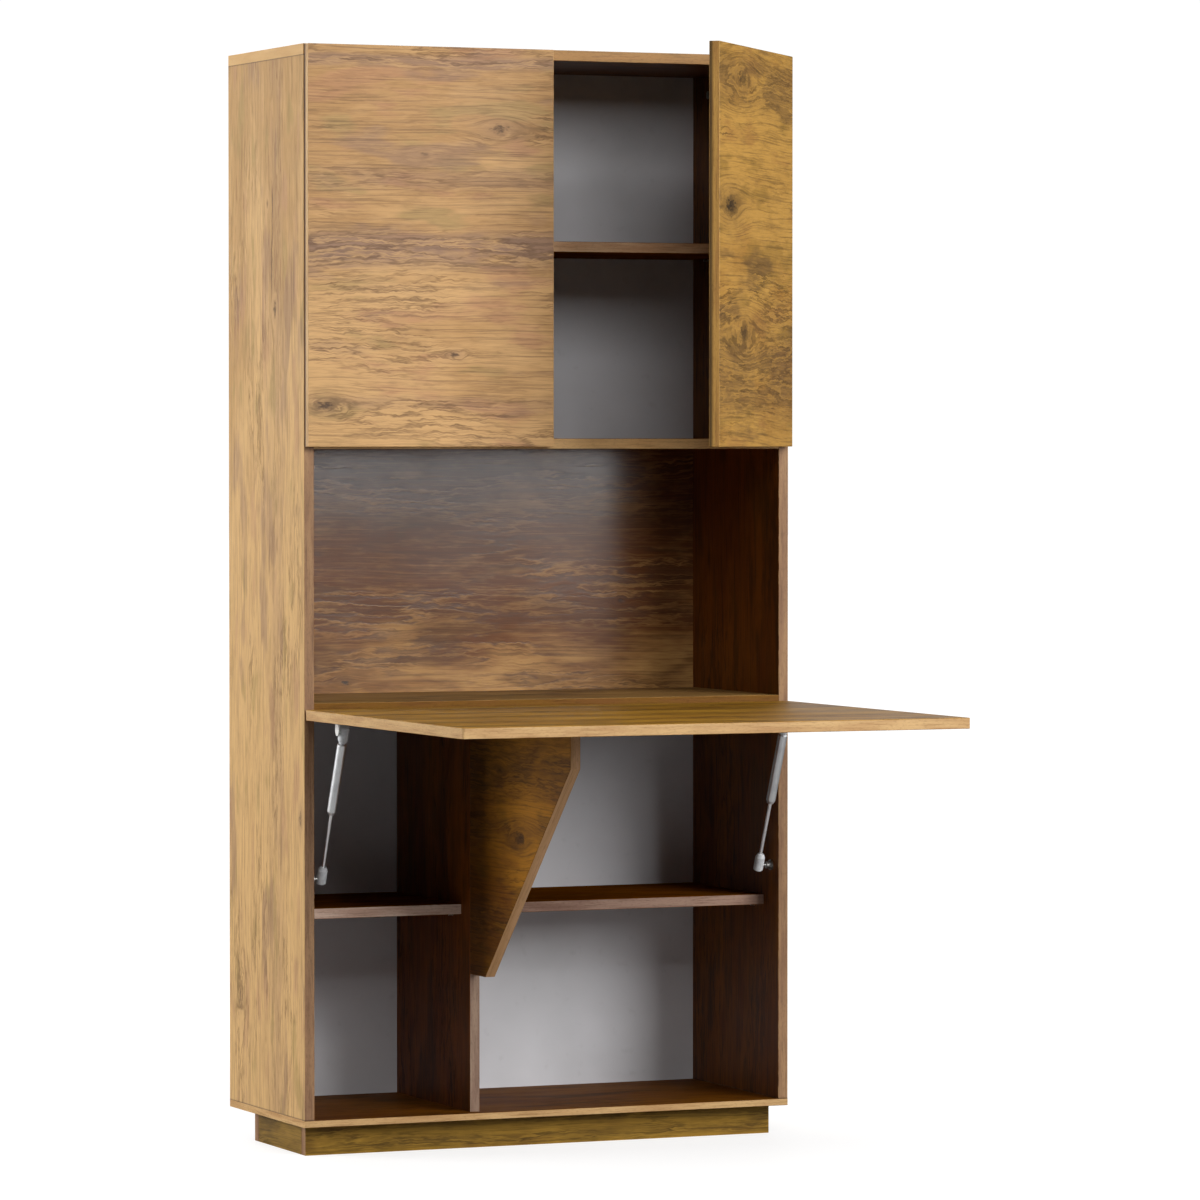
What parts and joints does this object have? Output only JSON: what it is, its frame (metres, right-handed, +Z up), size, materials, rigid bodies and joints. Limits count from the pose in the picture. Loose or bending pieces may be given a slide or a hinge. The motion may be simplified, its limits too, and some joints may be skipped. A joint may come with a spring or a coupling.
{
  "type": "fold down wall desk",
  "caption": "Tall cupboard desk: doors over an open niche, a drop-down writing flap on gas struts, a swinging bracket board under it and open shelves below.",
  "frame": {"origin": "on the floor at the middle of the plinth's footprint, at the underside of its cross rail", "axes": "+X to the right seen from the front, +Y towards the wall behind, +Z up; the front faces -Y"},
  "size_m": [0.9018, 1.0768, 1.88],
  "materials": {
    "oak_melamine": "satin wood-grain melamine foil with knots, edge-banded",
    "backing_board": "thin smooth backing board",
    "block_wood": "sawn softwood",
    "felt": "short-pile felt",
    "nickel_steel": "nickel-plated pressed steel",
    "rod_chrome": "polished piston rod",
    "strut_enamel": "smooth light grey enamel",
    "white_steel": "white powder coat",
    "socket_plastic": "moulded nylon",
    "latch_plastic": "moulded acetal",
    "cam_zinc": "dull die-cast zinc"
  },
  "bodies": {
    "cabinet": {"left_side_panel": "oak_melamine", "right_side_panel": "oak_melamine", "base_panel": "oak_melamine", "top_panel": "oak_melamine", "upper_shelf": "oak_melamine", "desk_shelf": "oak_melamine", "lower_left_shelf": "oak_melamine", "lower_right_shelf": "oak_melamine", "niche_back_panel": "oak_melamine", "upper_back_panel": "backing_board", "lower_back_panel": "backing_board", "plinth_front_rail": "oak_melamine", "plinth_back_rail": "oak_melamine", "plinth_left_rail": "oak_melamine", "plinth_right_rail": "oak_melamine", "plinth_cross_rail": "oak_melamine", "cabinet_floor": "oak_melamine", "lower_divider": "oak_melamine", "plinth_corner_blocks": "block_wood", "left_door_hinge_arms": "nickel_steel", "right_door_hinge_arms": "nickel_steel", "flap_hinge_arms": "nickel_steel", "divider_hinge_leaves": "nickel_steel", "bracket_hinge_pins": "nickel_steel", "left_strut_wall_stud": "nickel_steel", "right_strut_wall_stud": "nickel_steel", "latch_sleeves": "latch_plastic", "wall_ties": "nickel_steel", "cam_locks": "cam_zinc", "cam_bolts": "cam_zinc", "shelf_pins": "nickel_steel", "base_screws": "cam_zinc"},
    "left_door_leaf": {"left_door": "oak_melamine", "left_door_hinge_cups": "nickel_steel"},
    "right_door_leaf": {"right_door": "oak_melamine", "right_door_hinge_cups": "nickel_steel"},
    "flap": {"desk_flap": "oak_melamine", "flap_hinge_cups": "nickel_steel", "left_strut_flap_bracket": "white_steel", "right_strut_flap_bracket": "white_steel"},
    "bracket": {"support_bracket": "oak_melamine", "bracket_pad": "felt", "bracket_hinge_leaves": "nickel_steel"},
    "left_strut_lower": {"left_strut_rod": "rod_chrome", "left_strut_lower_socket": "socket_plastic"},
    "left_strut_upper": {"left_strut_cylinder": "strut_enamel", "left_strut_upper_socket": "socket_plastic"},
    "right_strut_lower": {"right_strut_rod": "rod_chrome", "right_strut_lower_socket": "socket_plastic"},
    "right_strut_upper": {"right_strut_cylinder": "strut_enamel", "right_strut_upper_socket": "socket_plastic"},
    "left_latch": {"left_latch_plunger": "latch_plastic"},
    "right_latch": {"right_latch_plunger": "latch_plastic"}
  },
  "joints": [
    {"name": "flap_hinge", "type": "hinge", "parent": "cabinet", "child": "flap", "pos_m": [0, -0.179, 0.752], "axis": [1, 0, 0], "range_deg": [-8, 0]},
    {"name": "bracket_swing", "type": "hinge", "parent": "cabinet", "child": "bracket", "pos_m": [-0.1186, -0.14425, 0.52], "axis": [0, 0, 1], "range_deg": [0, 90]},
    {"name": "left_door_hinge", "type": "hinge", "parent": "cabinet", "child": "left_door_leaf", "pos_m": [-0.4428, -0.179, 1.5405], "axis": [0, 0, -1], "range_deg": [0, 95]},
    {"name": "right_door_hinge", "type": "hinge", "parent": "cabinet", "child": "right_door_leaf", "pos_m": [0.4428, -0.179, 1.5405], "axis": [0, 0, 1], "range_deg": [-49, 46]},
    {"name": "left_strut_swing", "type": "hinge", "parent": "cabinet", "child": "left_strut_lower", "pos_m": [-0.408, -0.136, 0.471], "axis": [1, 0, 0], "range_deg": [-0.2, 0]},
    {"name": "left_strut_slide", "type": "slide", "parent": "left_strut_lower", "child": "left_strut_upper", "axis": [0, -0.3913, 0.9203], "range_m": [0, 0.0102]},
    {"name": "right_strut_swing", "type": "hinge", "parent": "cabinet", "child": "right_strut_lower", "pos_m": [0.408, -0.136, 0.471], "axis": [1, 0, 0], "range_deg": [-0.2, 0]},
    {"name": "right_strut_slide", "type": "slide", "parent": "right_strut_lower", "child": "right_strut_upper", "axis": [0, -0.3913, 0.9203], "range_m": [0, 0.0102]},
    {"name": "left_latch_press", "type": "slide", "parent": "cabinet", "child": "left_latch", "axis": [0, 1, 0], "range_m": [0, 0.0015], "stiffness_N_per_m": 300, "springref_m": -0.005},
    {"name": "right_latch_press", "type": "slide", "parent": "cabinet", "child": "right_latch", "axis": [0, 1, 0], "range_m": [0, 0.0015], "stiffness_N_per_m": 300, "springref_m": -0.005}
  ],
  "couplings": [
    {"joint": "left_strut_swing", "follows": "flap_hinge", "ratio": 0.0165},
    {"joint": "left_strut_slide", "follows": "flap_hinge", "m_per_rad": -0.0701},
    {"joint": "right_strut_swing", "follows": "flap_hinge", "ratio": 0.0165},
    {"joint": "right_strut_slide", "follows": "flap_hinge", "m_per_rad": -0.0701}
  ]
}
